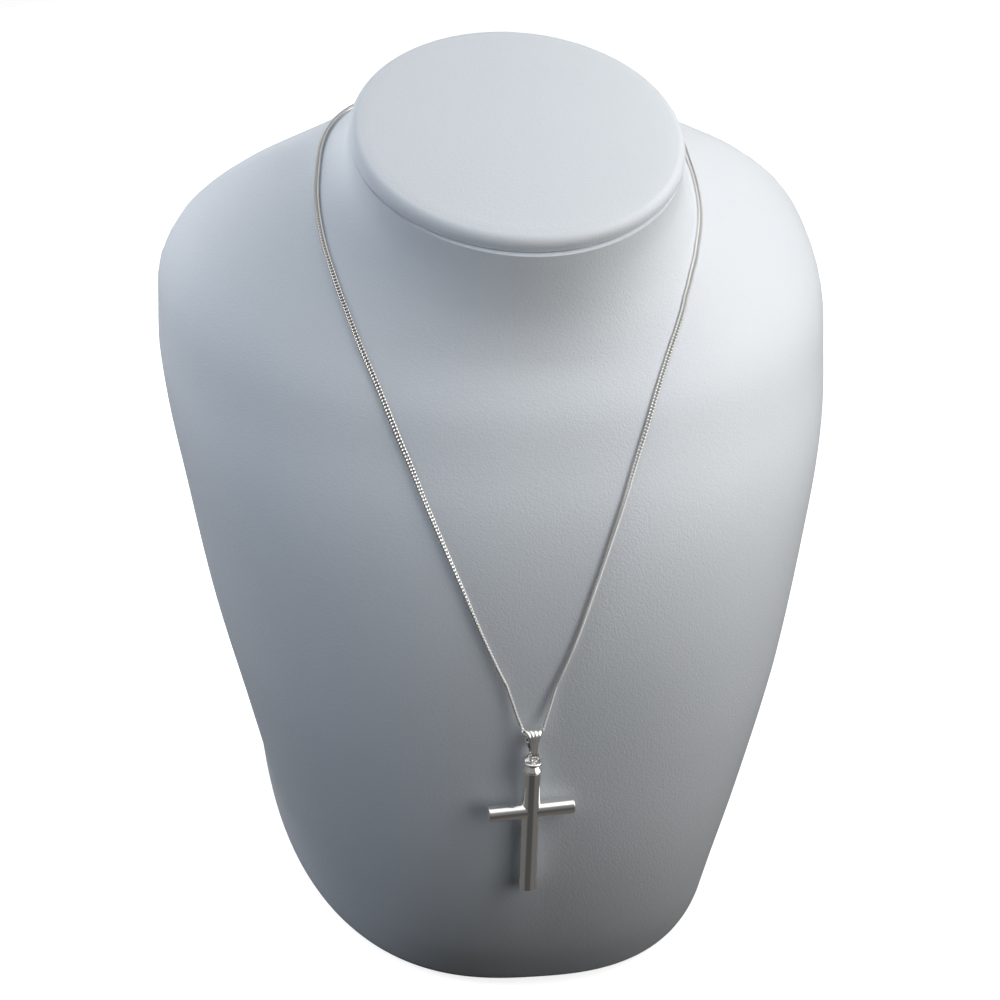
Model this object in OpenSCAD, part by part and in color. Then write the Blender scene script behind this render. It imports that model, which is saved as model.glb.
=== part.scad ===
// Cross pendant necklace on a plain neck bust.
// +Z is up, +Y points to the back of the bust, and the origin is the middle of the bust's flat base.

/* [Bust] */
// Width across the shoulders
shoulder_w = 206; // [198:1:214]
// Height of the middle of the slanted neck cut above the base
neck_h = 228.5; // [225:0.5:232]
// How far the neck cut slopes down to the front, in degrees
neck_slope = 14; // [10:1:18]
// Rounding of the bottom edge
edge_r = 4; // [2:0.5:6]

/* [Neck panel] */
// Width of the covered oval panel on the neck
panel_w = 98.8; // [97:0.2:101]
// Length of the panel from front to back, along its slope
panel_l = 100; // [99:0.5:102]
// Height of the panel's rim
panel_t = 4.6; // [4:0.2:6]
// How far the panel's middle stands above its rim
panel_dome = 1.2; // [0.5:0.1:3]

/* [Chain] */
// Width of the chain
chain_d = 1.8; // [1.4:0.1:2]
// Length of the clasp's body behind the neck
clasp_l = 9; // [7:0.5:12]

/* [Cross] */
// Diameter of the upright tube
tube_d = 5.4; // [5:0.1:5.8]
// Diameter of the arms
arm_d = 4.8; // [4.4:0.1:5.2]
// Length of the upright below its cap
upright_l = 39.4; // [35:0.2:43]
// Length of the two arms together, end to end
arm_l = 25.6; // [22:0.2:30]
// Distance from the cap's top down to the axis of the arms
arm_drop = 16.6; // [14:0.2:18]
// Rounding of the tube ends
end_r = 0.35; // [0.2:0.05:0.6]

/* [Cap] */
// Diameter of the cap's rim and shoulder
bead_d = 6; // [5.8:0.1:6.4]
// Height of the cap above the tube
cap_h = 3.1; // [2.8:0.1:3.6]
// Wire of the cap's loop
loop_wire = 0.6; // [0.5:0.05:0.65]
// Outer diameter of the cap's loop
loop_d = 2.5; // [2.4:0.1:2.8]

/* [Bail and ring] */
// Outer diameter of the jump ring
ring_d = 3.7; // [3.6:0.1:4]
// Wire of the jump ring
ring_wire = 0.7; // [0.6:0.05:0.75]
// Height of the bail
bail_h = 8.3; // [7.8:0.1:8.8]
// Width of the bail at its top
bail_top_w = 5; // [4.6:0.1:5.2]
// Width of the bail at its foot
bail_foot_w = 1.7; // [1.5:0.1:1.9]
// Thickness of the bail's sheet
bail_t = 0.5; // [0.4:0.05:0.55]
// Number of ribs along the bail
bail_ribs = 4; // [3:1:5]

/* [Hidden] */
// Room left between pieces that touch on the real thing
gap = 0.25;
// How far a cut runs past what it cuts
over = 1;
$fn = 48;

// Bust form. Each row is a cut through it. The columns are level, half width, front, the line
// where it is widest, and back. Cuts are flat up to lean_from, and lean to the neck's slope by lean_to.
ROW_LEVEL = 0;
ROW_HALF = 1;
ROW_FRONT = 2;
ROW_WIDE = 3;
ROW_BACK = 4;
BUST_ROWS = [
    [0,     70.5,  -65,   68,   68],
    [17,    73,    -71,   69.4, 69.4],
    [44,    80,    -73.5, 71.5, 71.5],
    [78,    89.5,  -70,   74,   74],
    [113,   97,    -62.5, 76.5, 77],
    [135,   101.5, -54,   79.5, 79.5],
    [150,   103,   -45.5, 81,   81],
    [165,   103,   -34,   81,   82],
    [180,   99.5,  -23.5, 81.5, 83],
    [190,   90.5,  -18.5, 80.5, 84.5],
    [200,   76,    -15,   72,   86],
    [210,   59,    -12,   55.5, 87.5],
    [218,   51,    -10.8, 45,   88.5],
    [228.5, 49.2,  -10.4, 39.5, 89],
];
rows_shoulder_w = 206;
rows_top = 228.5;
neck_y = 39.5;
lean_from = 170;
lean_to = 212;
// Roundness of the front and the back of a cut: 2 is an ellipse, and more is squarer
FRONT_POWER = [[0, 2.6], [80, 2.55], [140, 2.4], [175, 2.25], [200, 2.1], [222, 2]];
BACK_POWER = [[175, 6], [222, 2]];
LEVELS = [0, 0.4, 1.6, 4, 10, 18, 28, 40, 54, 68, 82, 96, 108, 119, 129, 138, 147, 156, 165, 173,
    180, 186, 191, 196, 201, 206, 210, 214, 218, 223, 228.5];
front_points = 52;
back_points = 16;

function row_at(level, i = 0) =
    i >= len(BUST_ROWS) - 2 || BUST_ROWS[i + 1][ROW_LEVEL] > level ? i : row_at(level, i + 1);
function rise(i) = BUST_ROWS[i + 1][ROW_LEVEL] - BUST_ROWS[i][ROW_LEVEL];
function step_slope(i, c) = (BUST_ROWS[i + 1][c] - BUST_ROWS[i][c]) / rise(i);
function row_slope(i, c) =
    i == 0 ? step_slope(0, c)
    : i == len(BUST_ROWS) - 1 ? step_slope(i - 1, c)
    : step_slope(i - 1, c) * step_slope(i, c) <= 0 ? 0
    : (step_slope(i - 1, c) + step_slope(i, c)) / 2;
// The value of column c at a level, on a smooth curve through the rows
function form(c, level) =
    let (i = row_at(level), t = (level - BUST_ROWS[i][ROW_LEVEL]) / rise(i))
    BUST_ROWS[i][c] * (1 + 2 * t) * pow(1 - t, 2) + row_slope(i, c) * rise(i) * t * pow(1 - t, 2)
    + BUST_ROWS[i + 1][c] * t * t * (3 - 2 * t) + row_slope(i + 1, c) * rise(i) * t * t * (t - 1);

// How much the rounded bottom edge takes off at a level
function edge_cut(level) =
    level >= edge_r ? 0 : edge_r - sqrt(edge_r * edge_r - pow(edge_r - level, 2));
function half_at(level) = form(ROW_HALF, level) * shoulder_w / rows_shoulder_w - edge_cut(level);
function front_at(level) = form(ROW_FRONT, level) + edge_cut(level);
function wide_at(level) = form(ROW_WIDE, level) - edge_cut(level);
function back_at(level) = form(ROW_BACK, level) - edge_cut(level);

function smooth_step(t) = t <= 0 ? 0 : t >= 1 ? 1 : t * t * (3 - 2 * t);
function lean_at(level) = tan(neck_slope) * smooth_step((level - lean_from) / (lean_to - lean_from));
function height_at(level, y) = level * neck_h / rows_top + (y - neck_y) * lean_at(level);

// The point of a cut's outline at angle a: the front runs from 0 to 180 and the back from there to 360
function outline_point(level, a) =
    let (
        power = lookup(level, a <= 180 ? FRONT_POWER : BACK_POWER),
        reach = a <= 180 ? front_at(level) - wide_at(level) : back_at(level) - wide_at(level),
        x = half_at(level) * sign(cos(a)) * pow(abs(cos(a)), 2 / power),
        y = wide_at(level) + reach * pow(abs(sin(a)), 2 / power)
    )
    [x, y, height_at(level, y)];
outline_angles = concat(
    [for (i = [0 : front_points - 1]) 180 * i / (front_points - 1)],
    [for (i = [1 : back_points]) 180 + 180 * i / (back_points + 1)]
);

// Whether the point [x, y] lies inside the cut at a level
function inside(x, y, level) =
    let (
        wide = wide_at(level),
        reach = y <= wide ? wide - front_at(level) : back_at(level) - wide,
        power = lookup(level, y <= wide ? FRONT_POWER : BACK_POWER)
    )
    reach > 0 && pow(abs(x) / half_at(level), power) + pow(abs(y - wide) / reach, power) < 1;
// Distance from the neck's axis to the form's surface, halving the span n times
function reach_to(turn, level, low = 20, high = 180, n = 20) =
    let (mid = (low + high) / 2)
    n == 0 ? mid
    : inside(mid * sin(turn), neck_y - mid * cos(turn), level) ? reach_to(turn, level, mid, high, n - 1)
    : reach_to(turn, level, low, mid, n - 1);
// The surface point at a turn from straight ahead, seen from the neck's axis, at a level
function form_point(turn, level) =
    let (r = reach_to(turn, level), y = neck_y - r * cos(turn))
    [r * sin(turn), y, height_at(level, y)];
function unit(v) = v / norm(v);
function form_normal(turn, level) =
    unit(cross(form_point(turn + 1, level) - form_point(turn - 1, level),
        form_point(turn, level + 1) - form_point(turn, level - 1)));
// A point that stands off the surface: row is [turn, level, distance]
function stand_off(row, more = 0) =
    form_point(row[0], row[1]) + form_normal(row[0], row[1]) * (row[2] + more);

// Faces between rings of n points each, from ring i to the next of rows rings
function band(i, rows, n) =
    [for (j = [0 : n - 1]) let (k = (i + 1) % rows)
        each [
            [i * n + j, i * n + (j + 1) % n, k * n + (j + 1) % n],
            [i * n + j, k * n + (j + 1) % n, k * n + j]
        ]];
// A closed solid over rings of points that turn clockwise as seen from the last ring
module skin(rings) {
    n = len(rings[0]);
    rows = len(rings);
    first = floor(n / 3);
    polyhedron(
        points = [for (ring = rings) each ring],
        faces = concat(
            [[for (j = [n - 1 : -1 : 0]) (j + first) % n]],
            [for (i = [0 : rows - 2]) each band(i, rows, n)],
            [[for (j = [0 : n - 1]) (rows - 1) * n + (j + first) % n]]
        )
    );
}
// The same, with the last ring joined to the first
module hoop(rings) {
    n = len(rings[0]);
    rows = len(rings);
    polyhedron(
        points = [for (ring = rings) each ring],
        faces = [for (i = [0 : rows - 1]) each band(i, rows, n)]
    );
}
module torus(outer_d, wire) {
    rotate_extrude()
        translate([(outer_d - wire) / 2, 0])
            circle(d = wire, $fn = 24);
}

// A round bar along Z from 0 to l, with ends rounded by r
module bar(d, l, r) {
    rotate_extrude()
        difference() {
            square([d / 2, l]);
            for (flip = [0, 1])
                translate([d / 2, flip * l])
                    mirror([0, flip])
                        translate([-r, 0])
                            difference() {
                                translate([0, -over])
                                    square([r + over, r + over]);
                                translate([0, r])
                                    circle(r, $fn = 24);
                            }
        }
}

// Pendant. Its own frame has the arms' axis at 0, the cap up and the front towards -Y.
pendant_at = [-6.65, -75.4, 71.7];
pendant_yaw = 6;
pendant_lean = -4.5;
pendant_roll = 0.5;
cap_loop_yaw = 35;
ring_yaw = -6;
link_gap = 0.1;
bail_lean = -36;
bail_roll = 3.5;
bail_shift = 0.1;
bail_foot_drop = 0.45;
bail_foot_r = 0.95;
bail_top_r = 2.1;
rib_h = 0.32;
// The cap's top plate lies this far below its rim
cap_recess = 0.8;
ring_rise = ring_d / 2 + link_gap - cap_recess;
loop_rise = ring_wire + 2 * link_gap + loop_wire - loop_d / 2 - cap_recess;
ring_top = arm_drop + ring_rise + (ring_d - ring_wire) / 2;
bail_span = bail_h - bail_top_r - bail_foot_r - bail_t;
module in_pendant(z = 0) {
    translate(pendant_at)
        rotate([0, 0, pendant_yaw])
            rotate([pendant_lean, 0, 0])
                rotate([0, pendant_roll, 0])
                    translate([0, 0, z])
                        children();
}
function turned_x(v, a) = [v.x, v.y * cos(a) - v.z * sin(a), v.y * sin(a) + v.z * cos(a)];
function turned_y(v, a) = [v.x * cos(a) + v.z * sin(a), v.y, v.z * cos(a) - v.x * sin(a)];
function turned_z(v, a) = [v.x * cos(a) - v.y * sin(a), v.x * sin(a) + v.y * cos(a), v.z];
function from_pendant(v) =
    pendant_at + turned_z(turned_x(turned_y(v, pendant_roll), pendant_lean), pendant_yaw);
bail_top = from_pendant([bail_shift, 0, ring_top]
    + turned_x(turned_y([0, 0, bail_span - bail_foot_drop], bail_roll), bail_lean));

module bust() {
    color("whitesmoke")
        skin([for (level = LEVELS) [for (a = outline_angles) outline_point(level, a)]]);
}

// Rim of the panel, as [inset, height] pairs, and rings that fill its domed top
panel_foot_r = 0.5;
panel_edge_r = 3;
panel_profile = concat(
    [for (a = [0 : 30 : 90]) [panel_foot_r * (1 - sin(a)), gap + panel_foot_r * (1 - cos(a))]],
    [for (a = [0 : 18 : 90]) [panel_edge_r * (1 - cos(a)), panel_t - panel_edge_r * (1 - sin(a))]],
    [for (f = [0.9, 0.75, 0.55, 0.3, 0.05])
        [panel_w / 2 * (1 - f), panel_t + panel_dome * (1 - f * f)]]
);
module neck_panel() {
    color("whitesmoke")
        translate([0, neck_y, neck_h])
            rotate([neck_slope, 0, 0])
                skin([for (p = panel_profile) [for (a = [0 : 4 : 356]) [
                    (panel_w / 2 - p.x) * cos(a),
                    -(panel_l / 2 - p.x * panel_l / panel_w) * sin(a),
                    p.y
                ]]]);
}

// Route of the chain, as [turn, level, distance above its resting place], from the clasp round each side
LEFT_ROUTE = [
    [-171.5, 214, 0], [-156, 214, 0.1], [-140, 213.8, 0.3], [-127, 213.5, 0.3], [-116.5, 213.2, 0.2],
    [-105, 212, 0], [-91, 209.6, 0], [-78, 206.8, 0], [-66, 203, 0], [-55, 196.6, 0],
    [-45, 186.2, 0], [-35, 171.6, 0], [-27.3, 159.5, 0], [-21, 147.4, 0], [-15.8, 134.3, 0],
    [-11.3, 119.9, 0.2], [-7.4, 107, 0.7],
];
RIGHT_ROUTE = [
    [0.3, 107, 0.7], [3.4, 118.5, 0.2], [7.3, 133.1, 0], [11.9, 146.8, 0], [17.8, 159.3, 0],
    [25.2, 171.8, 0], [36, 188, 0], [49.6, 202.1, 0], [58.3, 206.1, 0], [68.3, 209, 0],
    [79.3, 211.2, 0], [90.4, 213.2, 0], [101.5, 214.6, 0.2], [113, 214.6, 0.4], [126, 214.3, 0.5],
    [141, 214, 0.4], [156, 214, 0.2], [171.5, 214, 0],
];
// The same at the bail, from the middle of its top: across, back and up
BAIL_ROUTE = [
    [-4.3, 2.1, 5.2], [-3.85, 1.1, 3.1], [-3.6, 0.5, 1.7], [-2.8, 0.1, 0.8], [-1.5, 0, 0.75],
    [1.5, 0, 0.65], [2.9, 0.1, 0.65], [3.8, 0.5, 1.6], [4, 1.1, 3.1], [4.3, 2.1, 5.2],
];
chain_sides = 8;
route_steps = 2;
function on_form(rows) = [for (row = rows) stand_off(row, chain_d / 2 + gap)];
// A point a part t of the way from p[i] to the next one, on a curve through all the points
function curve_point(p, i, t) =
    let (
        a = p[max(0, i - 1)],
        b = p[i],
        c = p[i + 1],
        d = p[min(len(p) - 1, i + 2)]
    )
    b + 0.5 * t * ((c - a) + t * ((2 * a - 5 * b + 4 * c - d) + t * (3 * (b - c) + d - a)));
function curve(p, steps) = concat(
    [for (i = [0 : len(p) - 2], k = [0 : steps - 1]) curve_point(p, i, k / steps)],
    [p[len(p) - 1]]
);

chain_points = concat(
    curve(on_form(LEFT_ROUTE), route_steps),
    [for (p = BAIL_ROUTE) bail_top + p],
    curve(on_form(RIGHT_ROUTE), route_steps)
);
// A ring of points round the path p at its point i
function chain_ring(p, i) =
    let (
        along = unit(p[min(len(p) - 1, i + 1)] - p[max(0, i - 1)]),
        out = [p[i].x, p[i].y - neck_y, 0],
        n = unit(out - (out * along) * along),
        b = cross(along, n)
    )
    [for (k = [0 : chain_sides - 1])
        let (a = 360 * (k + 0.5) / chain_sides)
            p[i] + chain_d / 2 * (cos(a) * n - sin(a) * b)];
module chain() {
    color("silver")
        skin([for (i = [0 : len(chain_points) - 1]) chain_ring(chain_points, i)]);
}

// Barrel clasp behind the neck, with a loop at each end for the chain
clasp_d = 3;
clasp_end_r = 1;
clasp_loop_d = 2.6;
clasp_loop_wire = 0.6;
clasp_level = 214;
module clasp() {
    back = form_point(180, clasp_level);
    loop_at = clasp_l / 2 + clasp_loop_d / 2 - clasp_loop_wire / 2;
    color("silver")
        translate([0, back.y + clasp_d / 2 + gap, back.z]) {
            translate([-clasp_l / 2, 0, 0])
                rotate([0, 90, 0])
                    bar(clasp_d, clasp_l, clasp_end_r);
            for (side = [-1, 1])
                translate([side * loop_at, 0, 0])
                    rotate([90, 0, 0])
                        torus(clasp_loop_d, clasp_loop_wire);
        }
}

// Bail: a band of sheet bent round a large circle at the top and a small one at the foot
bail_slant = asin((bail_top_r - bail_foot_r) / bail_span);
bail_points = 24;
bail_line_steps = 3;
bail_angles_top = [for (i = [0 : 11]) -bail_slant + (180 + 2 * bail_slant) * i / 11];
bail_angles_foot = [for (i = [0 : 7]) 180 + bail_slant + (180 - 2 * bail_slant) * i / 7];
// A station of the band is [across the bail's depth, height, angle of its outer face]
function bail_arc(angles, r, z) = [for (a = angles) [r * cos(a), z + r * sin(a), a]];
function between(a, b) = [for (i = [1 : bail_line_steps]) a + (b - a) * i / (bail_line_steps + 1)];
bail_top_arc = bail_arc(bail_angles_top, bail_top_r, bail_span);
bail_foot_arc = bail_arc(bail_angles_foot, bail_foot_r, 0);
function last(v) = v[len(v) - 1];
bail_stations = concat(
    bail_top_arc, between(last(bail_top_arc), bail_foot_arc[0]),
    bail_foot_arc, between(last(bail_foot_arc), bail_top_arc[0] + [0, 0, 360])
);
// From 0 at the foot to 1 at the top, where the bail flares
bail_flare = 2.2;
function bail_part(z) =
    pow(min(1, max(0, z + bail_foot_r) / (bail_span + bail_foot_r + bail_top_r / 2)), bail_flare);
// A ring of points round the sheet at a station: ribbed outside, plain inside
function bail_ring(s) =
    let (
        w = bail_foot_w + (bail_top_w - bail_foot_w) * bail_part(s[1]),
        rib = rib_h * (0.2 + 0.8 * bail_part(s[1])),
        out = [0, cos(s[2]), sin(s[2])],
        mid = [0, s[0], s[1]]
    )
    concat(
        [for (i = [0 : bail_points])
            let (u = i / bail_points)
                mid + [w * (u - 0.5), 0, 0] + out * (bail_t / 2 + rib * abs(sin(180 * bail_ribs * u)))],
        [mid + [w / 2, 0, 0] - out * bail_t / 2, mid - [w / 2, 0, 0] - out * bail_t / 2]
    );
module bail() {
    color("silver")
        in_pendant(ring_top)
            translate([bail_shift, 0, 0])
                rotate([bail_lean, 0, 0])
                    rotate([0, bail_roll, 0])
                        translate([0, 0, -bail_foot_drop])
                            hoop([for (s = bail_stations) bail_ring(s)]);
}

module jump_ring() {
    color("silver")
        in_pendant(arm_drop + ring_rise)
            rotate([90, 0, ring_yaw])
                torus(ring_d, ring_wire);
}

// Cap: a rounded rim over a sloped shoulder, a loop that stands in the rim and a plug in the upright
plug_d = 4.2;
plug_l = 3;
bead_r = 0.5;
plate_h = 0.3;
shoulder_h = 1.65;
shoulder_rim = 0.45;
shoulder_cut = 0.2;
module cap() {
    color("silver")
        in_pendant(arm_drop) {
            rotate_extrude() {
                translate([0, -cap_h - plug_l])
                    square([plug_d / 2, plug_l + cap_h - cap_recess]);
                translate([0, -cap_recess - plate_h])
                    square([bead_d / 2 - bead_r, plate_h]);
                translate([bead_d / 2 - bead_r, -bead_r])
                    circle(bead_r, $fn = 24);
                translate([0, -cap_h])
                    polygon([
                        [0, 0], [bead_d / 2 - shoulder_cut, 0], [bead_d / 2, shoulder_cut],
                        [bead_d / 2, shoulder_rim], [plug_d / 2, shoulder_h], [0, shoulder_h]
                    ]);
            }
            translate([0, 0, loop_rise])
                rotate([90, 0, 90 - cap_loop_yaw])
                    torus(loop_d, loop_wire);
        }
}

socket_gap = 0.15;
module cross_body() {
    foot = arm_drop - cap_h - gap / 2 - upright_l;
    color("silver")
        in_pendant()
            difference() {
                union() {
                    translate([0, 0, foot])
                        bar(tube_d, upright_l, end_r);
                    translate([-arm_l / 2, 0, 0])
                        rotate([0, 90, 0])
                            bar(arm_d, arm_l, end_r);
                }
                translate([0, 0, arm_drop - cap_h - plug_l - socket_gap])
                    cylinder(d = plug_d + 2 * socket_gap, h = plug_l + over);
            }
}

bust();
neck_panel();
chain();
clasp();
bail();
jump_ring();
cap();
cross_body();  // cross
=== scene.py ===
import math

import bpy
import numpy as np
from mathutils import Matrix, Vector


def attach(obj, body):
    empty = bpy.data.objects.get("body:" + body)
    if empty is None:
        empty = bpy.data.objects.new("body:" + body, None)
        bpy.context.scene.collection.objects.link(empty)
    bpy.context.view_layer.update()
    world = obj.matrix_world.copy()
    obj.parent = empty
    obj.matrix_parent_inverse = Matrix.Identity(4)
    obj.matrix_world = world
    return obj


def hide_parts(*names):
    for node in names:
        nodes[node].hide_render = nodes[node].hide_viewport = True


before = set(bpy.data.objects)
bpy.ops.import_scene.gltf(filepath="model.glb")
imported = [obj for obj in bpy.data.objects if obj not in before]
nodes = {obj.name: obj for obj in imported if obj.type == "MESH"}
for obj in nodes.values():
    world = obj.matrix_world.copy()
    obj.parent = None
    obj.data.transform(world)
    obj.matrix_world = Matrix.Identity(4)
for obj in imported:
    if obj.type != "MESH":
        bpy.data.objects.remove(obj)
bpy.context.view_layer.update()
MM = 0.001

# Sizes in mm, as in the part's source
NECK_H = 228.5
NECK_SLOPE = 14
EDGE_R = 4
PANEL_W = 98.8
PANEL_L = 100
PANEL_T = 4.6
PANEL_DOME = 1.2
TUBE_D = 5.4
ARM_D = 4.8
UPRIGHT_L = 39.4
ARM_L = 25.6
ARM_DROP = 16.6
END_R = 0.35
BEAD_D = 6
BEAD_R = 0.5
CAP_H = 3.1
PLUG_D = 4.2
PLATE_H = 0.3
SHOULDER_H = 1.65
SHOULDER_RIM = 0.45
SHOULDER_CUT = 0.2
LOOP_WIRE = 0.6
LOOP_D = 2.5
RING_D = 3.7
RING_WIRE = 0.7
BAIL_H = 8.3
BAIL_TOP_W = 5
BAIL_FOOT_W = 1.7
BAIL_T = 0.5
BAIL_RIBS = 4
CLASP_D = 3
CLASP_L = 9
CLASP_LOOP_D = 2.6
CLASP_LOOP_WIRE = 0.6
CLASP_LEVEL = 214
GAP = 0.25
NECK_Y = 39.5
LEAN_FROM = 170
LEAN_TO = 212
ROWS_TOP = 228.5
# level, half width, front, widest, back
BUST_ROWS = [
    [0, 70.5, -65, 68, 68],
    [17, 73, -71, 69.4, 69.4],
    [44, 80, -73.5, 71.5, 71.5],
    [78, 89.5, -70, 74, 74],
    [113, 97, -62.5, 76.5, 77],
    [135, 101.5, -54, 79.5, 79.5],
    [150, 103, -45.5, 81, 81],
    [165, 103, -34, 81, 82],
    [180, 99.5, -23.5, 81.5, 83],
    [190, 90.5, -18.5, 80.5, 84.5],
    [200, 76, -15, 72, 86],
    [210, 59, -12, 55.5, 87.5],
    [218, 51, -10.8, 45, 88.5],
    [228.5, 49.2, -10.4, 39.5, 89],
]
ROW_HALF, ROW_FRONT, ROW_WIDE, ROW_BACK = 1, 2, 3, 4
FRONT_POWER = [(0, 2.6), (80, 2.55), (140, 2.4), (175, 2.25), (200, 2.1), (222, 2)]
BACK_POWER = [(175, 6), (222, 2)]
# The chain's way over each side of the bust: turn from the front in degrees, level, distance above its
# resting place
LEFT_ROUTE = [
    [-171.5, 214, 0], [-156, 214, 0.1], [-140, 213.8, 0.3], [-127, 213.5, 0.3], [-116.5, 213.2, 0.2],
    [-105, 212, 0], [-91, 209.6, 0], [-78, 206.8, 0], [-66, 203, 0], [-55, 196.6, 0],
    [-45, 186.2, 0], [-35, 171.6, 0], [-27.3, 159.5, 0], [-21, 147.4, 0], [-15.8, 134.3, 0],
    [-11.3, 119.9, 0.2], [-7.4, 107, 0.7],
]
RIGHT_ROUTE = [
    [0.3, 107, 0.7], [3.4, 118.5, 0.2], [7.3, 133.1, 0], [11.9, 146.8, 0], [17.8, 159.3, 0],
    [25.2, 171.8, 0], [35.8, 188, 0], [42.8, 196.1, 0], [50.3, 202.1, 0], [54.5, 204.3, 0],
    [58.8, 206.1, 0], [64.1, 207.6, 0], [69.3, 209, 0], [79.3, 210.8, 0], [90.4, 212.9, 0],
    [101.5, 214.6, 0.2], [113, 214.6, 0.4], [126, 214.3, 0.5], [141, 214, 0.4], [156, 214, 0.2],
    [171.5, 214, 0],
]
# Its way through the bail: across, back and up from the middle of the bail's top
BAIL_ROUTE = [
    [-4.2, 2, 5.3], [-3.5, 1.2, 3.7], [-3.1, 0.8, 2.5], [-2.6, 0.45, 1.55], [-1.5, 0.3, 1.15],
    [1.5, 0.3, 1.05], [2.6, 0.45, 1.4], [3.2, 0.8, 2.4], [3.6, 1.2, 3.7], [4.2, 2, 5.3],
]
PENDANT_AT = Vector((-6.65, -75.4, 71.7))
PENDANT_YAW = 6
PENDANT_LEAN = -4.5
PENDANT_ROLL = 0.5
CAP_RECESS = 0.8
CAP_LOOP_YAW = 35
RING_YAW = -6
LINK_GAP = 0.1
BAIL_LEAN = -36
BAIL_ROLL = 3.5
BAIL_SHIFT = 0.1
BAIL_FOOT_DROP = 0.45
BAIL_FLARE = 2.2
BAIL_FOOT_R = 0.95
BAIL_TOP_R = 2.1
RIB_H = 0.32
RING_RISE = RING_D / 2 + LINK_GAP - CAP_RECESS
LOOP_RISE = RING_WIRE + 2 * LINK_GAP + LOOP_WIRE - LOOP_D / 2 - CAP_RECESS
RING_TOP = ARM_DROP + RING_RISE + (RING_D - RING_WIRE) / 2
BAIL_SPAN = BAIL_H - BAIL_TOP_R - BAIL_FOOT_R - BAIL_T


# The bust's form
def row_at(level):
    """The row at the low end of the stretch that a level is in."""
    i = 0
    while i < len(BUST_ROWS) - 2 and BUST_ROWS[i + 1][0] <= level:
        i += 1
    return i


def row_slope(i, column):
    """How a column changes with the level at a row. It is 0 where the column turns back."""
    def step(k):
        rise = BUST_ROWS[k + 1][0] - BUST_ROWS[k][0]
        return (BUST_ROWS[k + 1][column] - BUST_ROWS[k][column]) / rise
    if i == 0:
        return step(0)
    if i == len(BUST_ROWS) - 1:
        return step(i - 1)
    return 0 if step(i - 1) * step(i) <= 0 else (step(i - 1) + step(i)) / 2


def form(column, level):
    """A column's value at a level, on a smooth curve through the rows."""
    i = row_at(level)
    a, b = BUST_ROWS[i], BUST_ROWS[i + 1]
    rise = b[0] - a[0]
    t = (level - a[0]) / rise
    return (
        a[column] * (1 + 2 * t) * (1 - t) ** 2 + row_slope(i, column) * rise * t * (1 - t) ** 2
        + b[column] * t * t * (3 - 2 * t) + row_slope(i + 1, column) * rise * t * t * (t - 1)
    )


def edge_cut(level):
    """How far the rounded bottom edge lies inside the form."""
    return 0 if level >= EDGE_R else EDGE_R - math.sqrt(EDGE_R ** 2 - (EDGE_R - level) ** 2)


def smooth_step(t):
    """From 0 to 1 without a sudden start or stop."""
    return 0 if t <= 0 else 1 if t >= 1 else t * t * (3 - 2 * t)


def lookup(at, pairs):
    """The value at a place between (place, value) pairs."""
    return float(np.interp(at, [p[0] for p in pairs], [p[1] for p in pairs]))


def cut(level):
    """Half width, front, widest, back, front power, back power and lean at a level."""
    e = edge_cut(level)
    return (
        form(ROW_HALF, level) - e, form(ROW_FRONT, level) + e,
        form(ROW_WIDE, level) - e, form(ROW_BACK, level) - e,
        lookup(level, FRONT_POWER), lookup(level, BACK_POWER),
        math.tan(math.radians(NECK_SLOPE)) * smooth_step((level - LEAN_FROM) / (LEAN_TO - LEAN_FROM)),
    )


def height_at(level, y, lean):
    """The height of a point of a cut, which leans near the neck."""
    return level * NECK_H / ROWS_TOP + (y - NECK_Y) * lean


def outline(level, count, fine=2880):
    """The outline of the cut at a level, as count points at equal steps along a finer one."""
    half, front, wide, back, front_power, back_power, lean = cut(level)
    a = np.radians(np.linspace(0, 360, fine + 1)[:-1])
    ahead = a <= math.pi
    power = np.where(ahead, front_power, back_power)
    reach = np.where(ahead, front - wide, back - wide)
    c, s = np.cos(a), np.abs(np.sin(a))
    x = half * np.sign(c) * np.abs(c) ** (2 / power)
    y = wide + reach * s ** (2 / power)
    p = np.stack([x, y], 1)
    p = np.vstack([p, p[:1]])
    step = np.linalg.norm(np.diff(p, axis=0), axis=1)
    along = np.concatenate([[0], np.cumsum(step)])
    want = np.linspace(0, along[-1], count + 1)[:-1]
    q = np.stack([np.interp(want, along, p[:, k]) for k in (0, 1)], 1)
    return np.column_stack([q, height_at(level, q[:, 1], lean)])


def form_point(turn, level, nearest=20.0, farthest=180.0, halvings=22):
    """The point of the form at a turn from the front, seen from the neck's axis."""
    half, front, wide, back, front_power, back_power, lean = cut(level)
    s, c = math.sin(math.radians(turn)), math.cos(math.radians(turn))
    low, high = nearest, farthest
    for _ in range(halvings):
        mid = (low + high) / 2
        x, y = mid * s, NECK_Y - mid * c
        reach = wide - front if y <= wide else back - wide
        power = front_power if y <= wide else back_power
        if reach > 0 and (abs(x) / half) ** power + (abs(y - wide) / reach) ** power < 1:
            low = mid
        else:
            high = mid
    r = (low + high) / 2
    y = NECK_Y - r * c
    return Vector((r * s, y, height_at(level, y, lean)))


def form_normal(turn, level):
    round_it = form_point(turn + 1, level) - form_point(turn - 1, level)
    up_it = form_point(turn, level + 1) - form_point(turn, level - 1)
    return round_it.cross(up_it).normalized()


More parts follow.
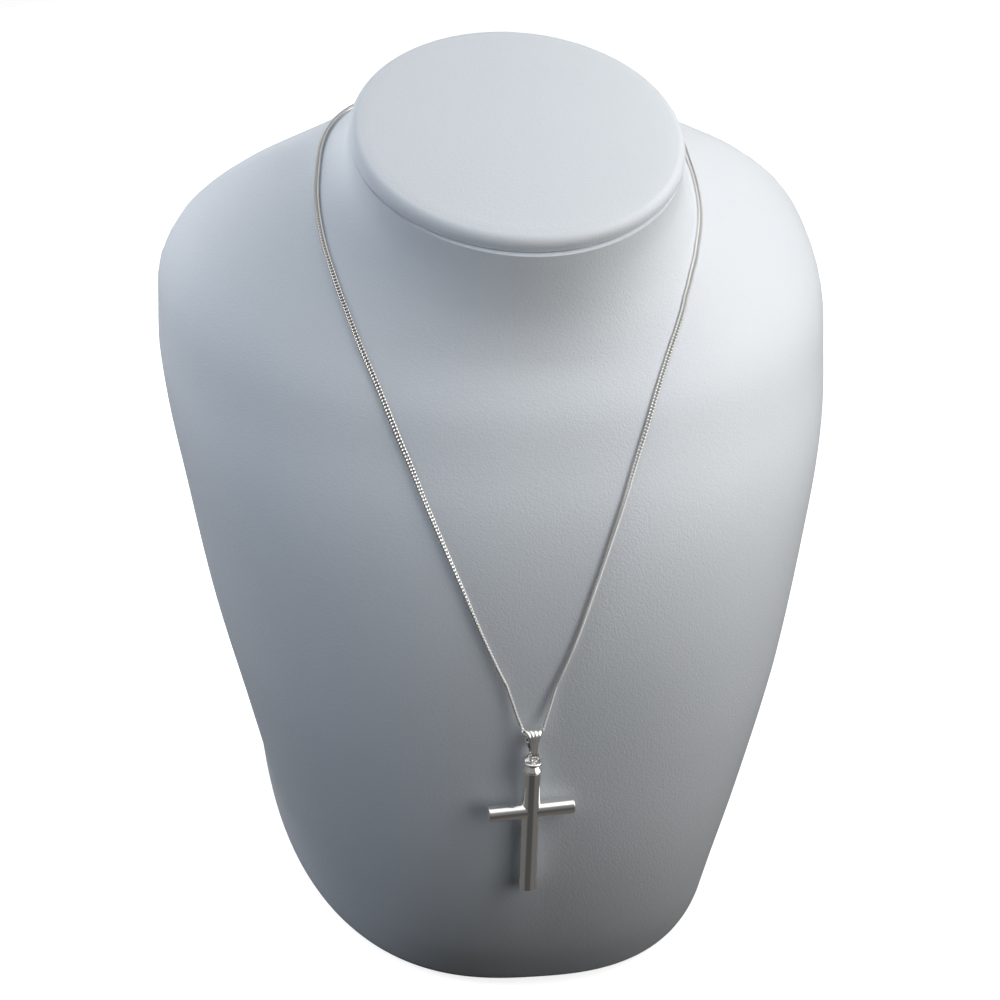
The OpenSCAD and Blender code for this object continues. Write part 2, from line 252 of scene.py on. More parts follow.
# Meshes
def make(name, verts, faces, finish, smooth_angle, replaces):
    """A piece from points in mm, with sharp edges above an angle. An angle of 0 leaves none."""
    mesh = bpy.data.meshes.new(name)
    mesh.from_pydata((np.asarray(verts, float) * MM).tolist(), [], faces)
    mesh.validate()
    mesh.update()
    mesh.shade_smooth()
    if smooth_angle:
        mesh.set_sharp_from_angle(angle=math.radians(smooth_angle))
    mesh.materials.append(finish)
    obj = bpy.data.objects.new(name, mesh)
    bpy.context.scene.collection.objects.link(obj)
    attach(obj, "root")
    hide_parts(replaces)
    return obj


def loft(rings, closed=False):
    """Points and faces of a skin over rings of the same count. It is capped unless the rings close."""
    n, rows = len(rings[0]), len(rings)
    faces = []
    for i in range(rows if closed else rows - 1):
        k = (i + 1) % rows
        for j in range(n):
            m = (j + 1) % n
            faces.append((i * n + j, i * n + m, k * n + m, k * n + j))
    if not closed:
        faces.append(tuple(range(n - 1, -1, -1)))
        faces.append(tuple((rows - 1) * n + j for j in range(n)))
    return np.vstack(rings), faces


def lathe(profile, sides):
    """Points and faces of a closed turned form round Z. The profile is [radius, height] from bottom to top,
    and starts and ends on the axis."""
    verts = [(0, 0, profile[0][1])]
    for r, z in profile[1:-1]:
        for j in range(sides):
            a = 2 * math.pi * j / sides
            verts.append((r * math.cos(a), r * math.sin(a), z))
    verts.append((0, 0, profile[-1][1]))
    faces = []
    rows = len(profile) - 2
    for j in range(sides):
        m = (j + 1) % sides
        faces.append((0, 1 + m, 1 + j))
        for i in range(rows - 1):
            a, b = 1 + i * sides, 1 + (i + 1) * sides
            faces.append((a + j, a + m, b + m, b + j))
        top = 1 + (rows - 1) * sides
        faces.append((top + j, top + m, len(verts) - 1))
    return np.array(verts, float), faces


def torus(outer_d, wire, around=96, sides=28):
    """Points and faces of a ring in the XZ plane."""
    r, w = (outer_d - wire) / 2, wire / 2
    rings = []
    for i in range(around):
        a = 2 * math.pi * i / around
        ring = []
        for k in range(sides):
            b = 2 * math.pi * k / sides
            d = r + w * math.cos(b)
            ring.append((d * math.cos(a), w * math.sin(b), d * math.sin(a)))
        rings.append(np.array(ring))
    return loft(rings, closed=True)


def mesh_object(name, verts, faces):
    mesh = bpy.data.meshes.new(name)
    mesh.from_pydata(np.asarray(verts).tolist(), [], faces)
    mesh.update()
    obj = bpy.data.objects.new(name, mesh)
    bpy.context.scene.collection.objects.link(obj)
    return obj


def joined_mesh(a, b):
    """The union of two closed meshes, as points and faces."""
    first, second = mesh_object("joint_a", *a), mesh_object("joint_b", *b)
    union = first.modifiers.new("union", "BOOLEAN")
    union.operation = "UNION"
    union.solver = "EXACT"
    union.object = second
    got = bpy.data.meshes.new_from_object(first.evaluated_get(bpy.context.evaluated_depsgraph_get()))
    verts = np.array([v.co[:] for v in got.vertices])
    faces = [tuple(p.vertices) for p in got.polygons]
    for obj in (first, second):
        bpy.data.objects.remove(obj)
    return verts, faces


def placed(verts, matrix):
    """Points turned and moved by a matrix."""
    m = np.array(matrix)
    return np.asarray(verts) @ m[:3, :3].T + m[:3, 3]


def turn_about(axis, degrees):
    return Matrix.Rotation(math.radians(degrees), 4, axis)


IN_PENDANT = (Matrix.Translation(PENDANT_AT) @ turn_about("Z", PENDANT_YAW) @ turn_about("X", PENDANT_LEAN)
              @ turn_about("Y", PENDANT_ROLL))
BAIL_AT = (IN_PENDANT @ Matrix.Translation((BAIL_SHIFT, 0, RING_TOP)) @ turn_about("X", BAIL_LEAN)
           @ turn_about("Y", BAIL_ROLL) @ Matrix.Translation((0, 0, -BAIL_FOOT_DROP)))
BAIL_TOP = BAIL_AT @ Vector((0, 0, BAIL_SPAN))


# Materials
def node(tree, kind, **values):
    """A shader node. A value goes to the input of its name, or else to the node's own setting."""
    n = tree.nodes.new(kind)
    for key, value in values.items():
        name = key.replace("_", " ")
        if name in n.inputs:
            n.inputs[name].default_value = value
        else:
            setattr(n, key, value)
    return n


def material(name, base, roughness, metallic=0.0, **sockets):
    m = bpy.data.materials.new(name)
    m.use_nodes = True
    shader = m.node_tree.nodes["Principled BSDF"]
    shader.inputs["Base Color"].default_value = (*base, 1)
    shader.inputs["Roughness"].default_value = roughness
    shader.inputs["Metallic"].default_value = metallic
    for key, value in sockets.items():
        shader.inputs[key.replace("_", " ")].default_value = value
    return m, m.node_tree, shader


def colour_ramp(tree, stops):
    """A ramp through [position, colour] stops."""
    n = node(tree, "ShaderNodeValToRGB")
    elements = n.color_ramp.elements
    while len(elements) < len(stops):
        elements.new(0.5)
    for element, (position, _) in zip(elements, stops):
        element.position = position
    for element, (_, colour) in zip(elements, stops):
        element.color = (*colour, 1)
    return n


def bumped(tree, shader, height, strength, distance):
    bump = node(tree, "ShaderNodeBump", Strength=strength, Distance=distance)
    tree.links.new(height, bump.inputs["Height"])
    tree.links.new(bump.outputs["Normal"], shader.inputs["Normal"])


def silver(name, roughness, haze_most=1.8):
    """Polished silver with fine scratches. A faint haze takes its roughness up to haze_most times."""
    m, tree, shader = material(name, (0.94, 0.93, 0.91), roughness, metallic=1.0)
    where = node(tree, "ShaderNodeTexCoord")
    haze = node(tree, "ShaderNodeTexNoise", Scale=260.0, Detail=4.0)
    tree.links.new(where.outputs["Object"], haze.inputs["Vector"])
    span = node(
        tree, "ShaderNodeMapRange",
        From_Min=0.35, From_Max=0.7, To_Min=roughness, To_Max=roughness * haze_most)
    tree.links.new(haze.outputs["Fac"], span.inputs["Value"])
    tree.links.new(span.outputs["Result"], shader.inputs["Roughness"])
    fine = node(tree, "ShaderNodeTexNoise", Scale=900.0, Detail=3.0)
    tree.links.new(where.outputs["Object"], fine.inputs["Vector"])
    bumped(tree, shader, fine.outputs["Fac"], strength=0.25, distance=0.000002)
    return m


def paint_gap_shade(m):
    """Darkens the metal's colour where the links are close to each other: painted shade in the gaps between
    the links.
    """
    tree = m.node_tree
    # Painted shade: the nearer the links are to each other, the darker the colour
    near = node(tree, "ShaderNodeAmbientOcclusion", Distance=0.0006, samples=8, only_local=True)
    shade = colour_ramp(tree, [(0.15, (0.12, 0.118, 0.115)), (0.6, (0.97, 0.96, 0.94))])
    tree.links.new(near.outputs["AO"], shade.inputs["Fac"])
    tree.links.new(shade.outputs["Color"], tree.nodes["Principled BSDF"].inputs["Base Color"])


def leatherette(name):
    """A white coated cloth with a fine pebbled grain and faint wide shades."""
    m, tree, shader = material(name, (0.80, 0.81, 0.82), roughness=0.5, Specular_IOR_Level=0.35)
    where = node(tree, "ShaderNodeTexCoord")
    grain = node(tree, "ShaderNodeTexVoronoi", Scale=1600.0)
    grain.feature = "SMOOTH_F1"
    grain.inputs["Smoothness"].default_value = 0.6
    pull = node(tree, "ShaderNodeTexNoise", Scale=1000.0, Detail=3.0, Roughness=0.6)
    tree.links.new(where.outputs["Object"], grain.inputs["Vector"])
    tree.links.new(where.outputs["Object"], pull.inputs["Vector"])
    both = node(tree, "ShaderNodeMath", operation="ADD")
    tree.links.new(grain.outputs["Distance"], both.inputs[0])
    tree.links.new(pull.outputs["Fac"], both.inputs[1])
    bumped(tree, shader, both.outputs[0], strength=0.4, distance=0.00012)
    wide = node(tree, "ShaderNodeTexNoise", Scale=9.0, Detail=3.0)
    tree.links.new(where.outputs["Object"], wide.inputs["Vector"])
    shade = colour_ramp(tree, [(0.3, (0.745, 0.785, 0.825)), (0.75, (0.785, 0.82, 0.855))])
    tree.links.new(wide.outputs["Fac"], shade.inputs["Fac"])
    tree.links.new(shade.outputs["Color"], shader.inputs["Base Color"])
    return m


LEATHER = leatherette("white_leatherette")
SILVER = silver("polished_silver", roughness=0.07)
CHAIN_SILVER = silver("chain_silver", roughness=0.08)
# The chain's colour gets painted shade between its links
paint_gap_shade(CHAIN_SILVER)


# Bust
def bust_levels(edge_turn=9, chest_step=3, neck_from=200, neck_step=1.5, last_step=1):
    """Levels of the bust's cuts: close at the rounded edge, wide on the chest, closer at the neck."""
    edge = [round(EDGE_R * (1 - math.cos(math.radians(a))), 4) for a in range(0, 91, edge_turn)]
    chest = [round(v, 4) for v in np.arange(EDGE_R + chest_step, neck_from, chest_step)]
    neck = [round(v, 4) for v in np.arange(neck_from, ROWS_TOP - neck_step, neck_step)]
    return sorted(set(edge + chest + neck + [ROWS_TOP - last_step, ROWS_TOP]))


def add_bust(points_round=300):
    verts, faces = loft([outline(v, points_round) for v in bust_levels()])
    make("bust_cover", verts, faces, LEATHER, smooth_angle=50, replaces="bust")


# Neck panel
def panel_profile(foot_r=0.5, rim_r=3, wall_steps=4, dome_from=0.92, dome_to=0.04, dome_steps=20):
    """The panel's edge and dome as [distance inside the rim, height]. The dome goes from one part of the
    panel's radius to another."""
    low, high = GAP + foot_r, PANEL_T - rim_r
    profile = [(foot_r * (1 - math.sin(math.radians(a))), GAP + foot_r * (1 - math.cos(math.radians(a))))
               for a in range(0, 91, 10)]
    profile += [(0, low + (high - low) * k / wall_steps) for k in range(1, wall_steps)]
    profile += [(rim_r * (1 - math.cos(math.radians(a))), PANEL_T - rim_r * (1 - math.sin(math.radians(a))))
                for a in range(0, 91, 9)]
    profile += [(PANEL_W / 2 * (1 - f), PANEL_T + PANEL_DOME * (1 - f * f))
                for f in np.linspace(dome_from, dome_to, dome_steps)]
    return profile


def add_panel(points_round=180):
    at = Matrix.Translation((0, NECK_Y, NECK_H)) @ turn_about("X", NECK_SLOPE)
    a = np.radians(np.arange(points_round) * 360 / points_round)
    rings = []
    for inset, z in panel_profile():
        x = (PANEL_W / 2 - inset) * np.cos(a)
        y = -(PANEL_L / 2 - inset * PANEL_L / PANEL_W) * np.sin(a)
        ring = np.column_stack([x, y, np.full(points_round, z)])
        rings.append(placed(ring[::-1], at))
    verts, faces = loft(rings)
    make("panel_cover", verts, faces, LEATHER, smooth_angle=50, replaces="neck_panel")


# Chain
PITCH = 1.03
LINK_WIRE = 0.46
LINK_HALF_L = 0.745
LINK_HALF_W = 0.66
LINK_WAVE = 0.27
LINK_STEPS = 22
LINK_SIDES = 8
# The links are cut flat on top and below at one distance from their middle, and at a slant at another
CUT_Z = 0.40
CUT_REACH = 0.70
CUT_SLANT = 38
# How far the chain's flat side is turned over, by turn from the front, in degrees
LEFT_ROLL = [(-180, 0), (-60, 0), (-40, 5), (-30, 20), (-20, 54), (-12, 76), (-7, 78)]
RIGHT_ROLL = [(0, -64), (3, -62), (8, -52), (16, -35), (25, -15), (40, 0), (180, 0)]
# The chain lies this far off the bust. It rises to the clasp from one turn on, over a span of degrees
CHAIN_GAP = 0.02
CLASP_LIFT = 1.3
LIFT_FROM = 160
LIFT_SPAN = 10
# From the middle of the clasp's loop to the middle of the first link
FIRST_LINK = 1.22
# Points of the smooth curves between each two rows and between each two stations
ROW_STEPS = 6
STATION_STEPS = 4


def curve(points, steps):
    """A smooth curve through points, with a number of steps between each two."""
    p = np.asarray(points, float)
    out = []
    for i in range(len(p) - 1):
        a, b, c, d = p[max(0, i - 1)], p[i], p[i + 1], p[min(len(p) - 1, i + 2)]
        for k in range(steps):
            t = k / steps
            bend = t * ((2 * a - 5 * b + 4 * c - d) + t * (3 * (b - c) + d - a))
            out.append(b + 0.5 * t * ((c - a) + bend))
    out.append(p[-1])
    return np.array(out)


def link_mesh():
    """One curb link: a bent oval of wire with its faces cut flat."""
    verts = []
    for i in range(LINK_STEPS):
        t = 2 * math.pi * i / LINK_STEPS
        at = np.array([LINK_HALF_L * math.cos(t), LINK_HALF_W * math.sin(t), LINK_WAVE * math.sin(2 * t)])
        along = np.array([
            -LINK_HALF_L * math.sin(t), LINK_HALF_W * math.cos(t), 2 * LINK_WAVE * math.cos(2 * t)])
        along /= np.linalg.norm(along)
        out = np.array([math.cos(t) / LINK_HALF_L, math.sin(t) / LINK_HALF_W, 0])
        out -= along * out.dot(along)
        out /= np.linalg.norm(out)
        side = np.cross(along, out)
        for k in range(LINK_SIDES):
            b = 2 * math.pi * (k + 0.5) / LINK_SIDES
            verts.append(at + LINK_WIRE / 2 * (math.cos(b) * out + math.sin(b) * side))
    verts = np.array(verts)
    s, c = math.sin(math.radians(CUT_SLANT)), math.cos(math.radians(CUT_SLANT))
    for y_side in (1, -1):
        for z_side in (1, -1):
            n = np.array([0, y_side * s, z_side * c])
            past = np.maximum(verts @ n - CUT_REACH, 0)
            verts = verts - past[:, None] * n
    verts[:, 2] = np.clip(verts[:, 2], -CUT_Z, CUT_Z)
    faces = []
    for i in range(LINK_STEPS):
        k = (i + 1) % LINK_STEPS
        for j in range(LINK_SIDES):
            m = (j + 1) % LINK_SIDES
            faces.append((i * LINK_SIDES + j, k * LINK_SIDES + j, k * LINK_SIDES + m, i * LINK_SIDES + m))
    return verts, faces


def draped(rows, rolls):
    """Stations of the chain on the bust, as (point, normal, roll)."""
    out = []
    for turn, level, lift in curve(rows, ROW_STEPS):
        roll = lookup(turn, rolls)
        s, c = math.sin(math.radians(roll)), math.cos(math.radians(roll))
        half = math.hypot((LINK_HALF_W + LINK_WIRE / 2) * s, CUT_Z * c)
        half += CLASP_LIFT * smooth_step((abs(turn) - LIFT_FROM) / LIFT_SPAN)
        n = form_normal(turn, level)
        out.append((form_point(turn, level) + n * (half + CHAIN_GAP + lift), n, roll))
    return out


def through_bail(left_normal, right_normal, turn_from=0.2, turn_span=0.6):
    """Stations in the bail, where the links turn over from the left side's roll to the right side's."""
    left_roll, right_roll = LEFT_ROLL[-1][1], RIGHT_ROLL[0][1]
    out = []
    for i, p in enumerate(BAIL_ROUTE):
        t = i / (len(BAIL_ROUTE) - 1)
        roll = left_roll - (left_roll - right_roll) * smooth_step((t - turn_from) / turn_span)
        out.append((BAIL_TOP + Vector(p), left_normal.lerp(right_normal, t), roll))
    return out


def chain_stations():
    back = form_point(180, CLASP_LEVEL)
    clasp_at = Vector((0, back.y + CLASP_D / 2 + GAP, back.z))
    end_x = CLASP_L / 2 + CLASP_LOOP_D / 2 - CLASP_LOOP_WIRE / 2 + FIRST_LINK
    start, end = [(clasp_at + Vector((side * end_x, 0, 0)), Vector((0, 1, 0)), 0) for side in (-1, 1)]
    left, right = draped(LEFT_ROUTE, LEFT_ROLL), draped(RIGHT_ROUTE, RIGHT_ROLL)
    return [start] + left + through_bail(left[-1][1], right[0][1]) + right + [end]


def add_chain():
    stations = chain_stations()
    path = curve([tuple(s[0]) for s in stations], STATION_STEPS)
    ups = curve([tuple(s[1]) for s in stations], STATION_STEPS)
    rolls = curve([(s[2], 0, 0) for s in stations], STATION_STEPS)[:, 0]
    steps = np.linalg.norm(np.diff(path, axis=0), axis=1)
    run = np.concatenate([[0], np.cumsum(steps)])
    count = int(round(run[-1] / PITCH)) + 1
    print("chain", round(run[-1], 1), "mm", count, "links, pitch", round(run[-1] / (count - 1), 4))
    where = np.linspace(0, run[-1], count)
    centre = np.stack([np.interp(where, run, path[:, k]) for k in range(3)], 1)
    up = np.stack([np.interp(where, run, ups[:, k]) for k in range(3)], 1)
    roll = np.radians(np.interp(where, run, rolls))
    along = np.gradient(centre, axis=0)
    along /= np.linalg.norm(along, axis=1)[:, None]
    link_verts, link_faces = link_mesh()
    verts, faces = [], []
    for i in range(count):
        t = along[i]
        n = up[i] - t * up[i].dot(t)
        n /= np.linalg.norm(n)
        s = np.cross(n, t)
        flat = math.cos(roll[i]) * n + math.sin(roll[i]) * s
        side = math.cos(roll[i]) * s - math.sin(roll[i]) * n
        verts.append(centre[i] + link_verts @ np.array([t, side, flat]))
        faces += [tuple(i * len(link_verts) + v for v in f) for f in link_faces]
    make("chain_links", np.vstack(verts), faces, CHAIN_SILVER,
         smooth_angle=28, replaces="chain")


# Clasp
def finish_clasp():
    """The clasp keeps its CAD shape."""
    nodes["clasp"].data.materials.clear()
    nodes["clasp"].data.materials.append(SILVER)


# Cross
def bar(d, length, r, sides=192, steps=11):
    """Points and faces of a round bar that stands on the origin, with rounded ends."""
    low = [(d / 2 - r + r * math.sin(math.radians(a)), r - r * math.cos(math.radians(a)))
           for a in np.linspace(0, 90, steps)]
    high = [(x, length - z) for x, z in reversed(low)]
    return lathe([(0, 0)] + low + high + [(0, length)], sides)


def set_round_normals(obj, verts, walls, matrix, flat=0.04, near=0.02):
    """Exact normals on walls that are parts of cylinders, given as (axis, radius). A face is on such a wall
    if it leans less than flat, and its middle is off the radius by less than the share near."""
    mesh = obj.data
    turn = matrix.to_3x3()
    back = turn.inverted()
    normals = [Vector(n.vector) for n in mesh.corner_normals]
    for poly in mesh.polygons:
        middle = np.mean([verts[v] for v in poly.vertices], axis=0)
        n = back @ poly.normal
        for axis, radius in walls:
            p, q = [k for k in range(3) if k != axis]
            if abs(n[axis]) < flat and abs(math.hypot(middle[p], middle[q]) - radius) < near * radius:
                for corner in poly.loop_indices:
                    out = Vector(verts[mesh.loops[corner].vertex_index])
                    out[axis] = 0
                    normals[corner] = (turn @ out).normalized()
                break
    mesh.normals_split_custom_set(normals)


def add_cross():
    foot = ARM_DROP - CAP_H - GAP / 2 - UPRIGHT_L
    upright, upright_faces = bar(TUBE_D, UPRIGHT_L, END_R)
    upright = upright + np.array([0, 0, foot])
    arms, arm_faces = bar(ARM_D, ARM_L, END_R)
    arms = placed(arms, turn_about("Y", 90) @ Matrix.Translation((0, 0, -ARM_L / 2)))
    verts, faces = joined_mesh((upright, upright_faces), (arms, arm_faces))
    cross = make("cross_body", placed(verts, IN_PENDANT), faces, SILVER,
                 smooth_angle=30, replaces="cross")
    set_round_normals(cross, verts, [(2, TUBE_D / 2), (0, ARM_D / 2)], IN_PENDANT)


# Cap, with its loop
def edge_arc(z, r, from_a, to_a, steps):
    """An arc that touches the cap's full radius, as [radius, height]. Its middle is at a height, and it goes
    from one angle to another in degrees."""
    return [(BEAD_D / 2 - r + r * math.cos(math.radians(a)), z + r * math.sin(math.radians(a)))
            for a in np.linspace(from_a, to_a, steps)]


def cap_profile(shoulder_r=0.1, plate_inset=0.05, rim_from=-96, rim_to=217):
    """The shoulder from below, its narrow neck, the plate and the rounded rim."""
    post_r = PLUG_D / 2
    slope = math.degrees(math.atan2(BEAD_D / 2 - post_r, SHOULDER_H - SHOULDER_RIM))
    plate_low = -CAP_RECESS - PLATE_H
    profile = [(0, -CAP_H)]
    profile += edge_arc(-CAP_H + SHOULDER_CUT, SHOULDER_CUT, -90, 0, steps=8)
    profile += edge_arc(-CAP_H + SHOULDER_RIM - shoulder_r, shoulder_r, 0, slope, steps=5)
    profile += [(post_r, -CAP_H + SHOULDER_H), (post_r, plate_low)]
    profile += [(BEAD_D / 2 - BEAD_R - plate_inset, plate_low)]
    profile += edge_arc(-BEAD_R, BEAD_R, rim_from, rim_to, steps=34)
    return profile + [(0, -CAP_RECESS)]


def add_cap():
    loop, loop_faces = torus(LOOP_D, LOOP_WIRE)
    loop = placed(loop, Matrix.Translation((0, 0, LOOP_RISE)) @ turn_about("Z", 90 - CAP_LOOP_YAW))
    verts, faces = joined_mesh(lathe(cap_profile(), sides=144), (loop, loop_faces))
    verts = placed(verts, IN_PENDANT @ Matrix.Translation((0, 0, ARM_DROP)))
    make("cap_collar", verts, faces, SILVER, smooth_angle=35, replaces="cap")


# Jump ring
def add_jump_ring():
    verts, faces = torus(RING_D, RING_WIRE)
    at = IN_PENDANT @ Matrix.Translation((0, 0, ARM_DROP + RING_RISE)) @ turn_about("Z", RING_YAW)
    make("jump_ring_wire", placed(verts, at), faces, SILVER,
         smooth_angle=0, replaces="jump_ring")


# Bail
def bail_part(z):
    """From 0 at the foot to 1 at the top, where the bail flares."""
    return min(1, max(0, z + BAIL_FOOT_R) / (BAIL_SPAN + BAIL_FOOT_R + BAIL_TOP_R / 2)) ** BAIL_FLARE


def bail_stations(top_count=44, foot_count=26, straight_steps=12):
    """Stations round the band, as (back, up, angle of the outer face)."""
    slant = math.asin((BAIL_TOP_R - BAIL_FOOT_R) / BAIL_SPAN)
    top = [(BAIL_TOP_R * math.cos(a), BAIL_SPAN + BAIL_TOP_R * math.sin(a), a)
           for a in np.linspace(-slant, math.pi + slant, top_count)]
    foot = [(BAIL_FOOT_R * math.cos(a), BAIL_FOOT_R * math.sin(a), a)
            for a in np.linspace(math.pi + slant, 2 * math.pi - slant, foot_count)]

    def between(a, b):
        parts = [k / straight_steps for k in range(1, straight_steps)]
        return [tuple(np.array(a) * (1 - t) + np.array(b) * t) for t in parts]

    again = (top[0][0], top[0][1], top[0][2] + 2 * math.pi)
    return top + between(top[-1], foot[0]) + foot + between(foot[-1], again)


def add_bail(outer_steps=72, inner_steps=12, foot_rib=0.2, rib_round=0.8):
    """The ribs sink to a share of their height at the foot."""
    rings = []
    for y, z, a in bail_stations():
        part = bail_part(z)
        w = BAIL_FOOT_W + (BAIL_TOP_W - BAIL_FOOT_W) * part
        rib = RIB_H * (foot_rib + (1 - foot_rib) * part)
        out = np.array([0, math.cos(a), math.sin(a)])
        mid = np.array([0, y, z])
        ring = []
        for i in range(outer_steps + 1):
            u = i / outer_steps
            wave = abs(math.sin(math.pi * BAIL_RIBS * u)) ** rib_round
            ring.append(mid + np.array([w * (u - 0.5), 0, 0]) + out * (BAIL_T / 2 + rib * wave))
        for i in range(inner_steps + 1):
            u = 1 - i / inner_steps
            ring.append(mid + np.array([w * (u - 0.5), 0, 0]) - out * BAIL_T / 2)
        rings.append(np.array(ring)[::-1])
    verts, faces = loft(rings, closed=True)
    make("bail_band", placed(verts, BAIL_AT), faces, SILVER,
         smooth_angle=40, replaces="bail")


# Camera, in metres and degrees, with its lens and sensor in mm
VIEW_AT = Vector((-0.00311, 0.020, 0.1185))
VIEW_TURN = -10.16
VIEW_LIFT = 30.62
VIEW_ROLL = 2.94
VIEW_FAR = 0.9793
VIEW_LENS = 115.63
VIEW_SENSOR = 36


def add_camera():
    turn, lift, roll = (math.radians(v) for v in (VIEW_TURN, VIEW_LIFT, VIEW_ROLL))
    back = Vector((math.sin(turn) * math.cos(lift), -math.cos(turn) * math.cos(lift), math.sin(lift)))
    right = Vector((math.cos(turn), math.sin(turn), 0))
    up = back.cross(right)
    x = math.cos(roll) * right + math.sin(roll) * up
    y = -math.sin(roll) * right + math.cos(roll) * up
    eye = VIEW_AT + back * VIEW_FAR
    data = bpy.data.cameras.new("camera")
    data.sensor_fit = "HORIZONTAL"
    data.sensor_width = VIEW_SENSOR
    data.lens = VIEW_LENS
    data.clip_start = 0.01
    data.clip_end = 50
    camera = bpy.data.objects.new("camera", data)
    camera.matrix_world = Matrix((
        (x.x, y.x, back.x, eye.x), (x.y, y.y, back.y, eye.y), (x.z, y.z, back.z, eye.z), (0, 0, 0, 1)))
    bpy.context.scene.collection.objects.link(camera)
    bpy.context.scene.camera = camera


# Lamps, in metres and watts
NEUTRAL = (1, 0.99, 0.98)
COOL = (0.9, 0.98, 1.1)
LAMP_SIZE = 0.35
LAMPS_LOOK_AT = Vector((0, 0.02, 0.18))
# name, place, power, colour
LAMPS = [
    ("key_right", (0.47, 0.15, 0.56), 2.0, NEUTRAL),
    ("key_front_right", (0.29, -0.15, 0.44), 0.75, NEUTRAL),
    ("front_right", (0.30, -0.50, 0.31), 0.57, NEUTRAL),
    ("top_right", (0.20, 0.02, 0.55), 0.2, NEUTRAL),
    ("back_left", (-0.30, 0.55, 0.31), 2.6, NEUTRAL),
    ("side_left", (-0.61, 0.02, 0.31), 0.75, COOL),
    ("high_left", (-0.47, -0.11, 0.56), 0.9, COOL),
]


def add_lamp(name, at, power, colour):
    """A soft lamp that looks at the bust. It is left out of the view and of reflections."""
    data = bpy.data.lights.new(name, "AREA")
    data.energy = power
    data.color = colour
    data.size = LAMP_SIZE
    lamp = bpy.data.objects.new(name, data)
    lamp.location = at
    lamp.rotation_euler = (LAMPS_LOOK_AT - Vector(at)).to_track_quat("-Z", "Y").to_euler()
    lamp.visible_camera = lamp.visible_glossy = False
    bpy.context.scene.collection.objects.link(lamp)


def add_floor(half=4):
    """A white floor that neither shows in the metal nor lights the bust."""
    white, _, _ = material(
        "floor_white", (0.85, 0.85, 0.85), roughness=0.8, Emission_Color=(1, 1, 1, 1), Emission_Strength=0.8)
    corners = [(-half, -half, 0), (half, -half, 0), (half, half, 0), (-half, half, 0)]
    floor = mesh_object("floor", corners, [(0, 1, 2, 3)])
    floor.data.materials.append(white)
    floor.visible_diffuse = floor.visible_glossy = False


# The room, as polished metal shows it: a bright ceiling, grey walls, a dark side in front of the bust and a
# soft window. Each is a direction from the bust
CEILING = (-0.025, 0.137, 0.990)
FRONT = (-0.176, -0.984, 0)
WINDOW = (0.72, -0.25, 0.65)
# The cosines where the front and the window begin, and where they are full
FRONT_SPAN = (0.70, 0.95)
WINDOW_SPAN = (0.84, 0.95)
WINDOW_STRENGTH = 2.2
# place from 0 below to 1 above along the ceiling's axis, brightness, warmth
FRONT_STOPS = [
    (0.0, 0.12, 0.03), (0.11, 0.085, 0.03), (0.21, 0.065, 0), (0.33, 0.045, 0),
    (0.45, 0.05, 0), (0.51, 0.10, 0), (0.58, 0.15, 0), (0.69, 0.19, 0),
    (0.79, 0.25, 0), (0.88, 0.42, 0), (0.925, 0.85, 0), (0.955, 1.15, 0),
]
SIDE_STOPS = [
    (0.0, 0.12, 0.05), (0.3, 0.14, 0.05), (0.5, 0.16, 0.03), (0.69, 0.2, 0),
    (0.79, 0.3, 0), (0.88, 0.5, 0), (0.925, 0.9, 0), (0.955, 1.15, 0),
]


def grey(brightness, warmth):
    return (brightness * (1 + warmth), brightness, brightness * (1 - warmth))


def towards(tree, vector, direction, low, high, interpolation):
    """How far a direction is faced: 0 up to the one cosine, and 1 from the other."""
    facing = node(tree, "ShaderNodeVectorMath", operation="DOT_PRODUCT")
    facing.inputs[1].default_value = direction
    tree.links.new(vector, facing.inputs[0])
    part = node(tree, "ShaderNodeMapRange", interpolation_type=interpolation, From_Min=low, From_Max=high)
    tree.links.new(facing.outputs["Value"], part.inputs["Value"])
    return part.outputs["Result"]


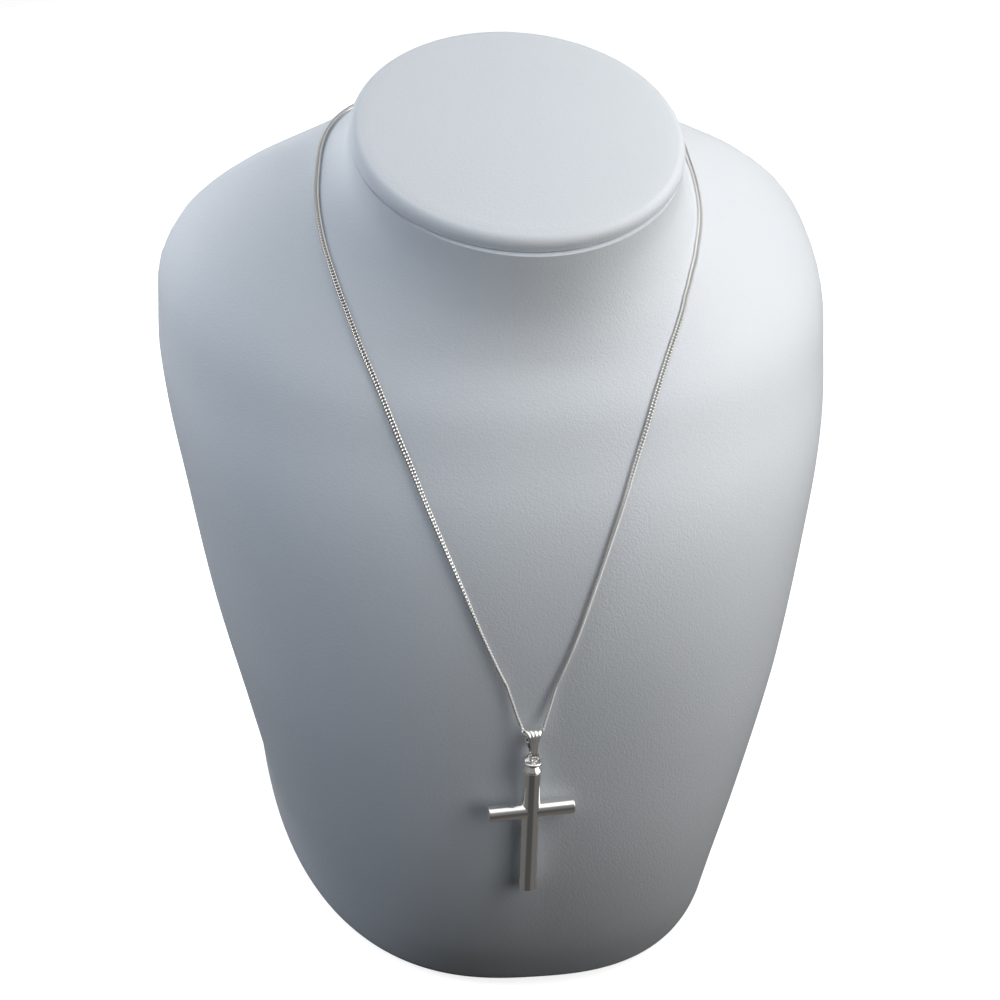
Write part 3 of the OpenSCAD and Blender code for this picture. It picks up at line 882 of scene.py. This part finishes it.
def room(tree, where, stops):
    """A background that goes from below to above along the ceiling's axis."""
    shade = colour_ramp(tree, [(place, grey(brightness, warmth)) for place, brightness, warmth in stops])
    tree.links.new(towards(tree, where, CEILING, -1, 1, "LINEAR"), shade.inputs["Fac"])
    background = node(tree, "ShaderNodeBackground")
    tree.links.new(shade.outputs["Color"], background.inputs["Color"])
    return background.outputs[0]


def mixed(tree, part, first, second):
    mix = node(tree, "ShaderNodeMixShader")
    tree.links.new(part, mix.inputs[0])
    tree.links.new(first, mix.inputs[1])
    tree.links.new(second, mix.inputs[2])
    return mix.outputs[0]


def add_world():
    world = bpy.data.worlds.new("studio")
    bpy.context.scene.world = world
    world.use_nodes = True
    tree = world.node_tree
    where = node(tree, "ShaderNodeTexCoord").outputs["Generated"]
    flat = node(tree, "ShaderNodeVectorMath", operation="MULTIPLY")
    flat.inputs[1].default_value = (1, 1, 0)
    tree.links.new(where, flat.inputs[0])
    level = node(tree, "ShaderNodeVectorMath", operation="NORMALIZE")
    tree.links.new(flat.outputs[0], level.inputs[0])
    ahead = towards(tree, level.outputs[0], FRONT, *FRONT_SPAN, "SMOOTHSTEP")
    walls = mixed(tree, ahead, room(tree, where, SIDE_STOPS), room(tree, where, FRONT_STOPS))
    # A soft window to the right of the bust
    window = node(tree, "ShaderNodeBackground", Strength=WINDOW_STRENGTH)
    tree.links.new(towards(tree, where, WINDOW, *WINDOW_SPAN, "SMOOTHSTEP"), window.inputs["Color"])
    lit = node(tree, "ShaderNodeAddShader")
    tree.links.new(walls, lit.inputs[0])
    tree.links.new(window.outputs[0], lit.inputs[1])
    # The camera sees white paper
    paper = node(tree, "ShaderNodeBackground", Color=(1, 1, 1, 1))
    seen = node(tree, "ShaderNodeLightPath").outputs["Is Camera Ray"]
    surface = mixed(tree, seen, lit.outputs[0], paper.outputs[0])
    tree.links.new(surface, tree.nodes["World Output"].inputs["Surface"])
    # The room shows in the metal only. The lamps light the bust
    world.cycles_visibility.diffuse = False
    bpy.context.scene.view_settings.view_transform = "Standard"


add_bust()
add_panel()
add_chain()
finish_clasp()
add_cross()
add_cap()
add_jump_ring()
add_bail()
add_camera()
for lamp in LAMPS:
    add_lamp(*lamp)
add_floor()
add_world()
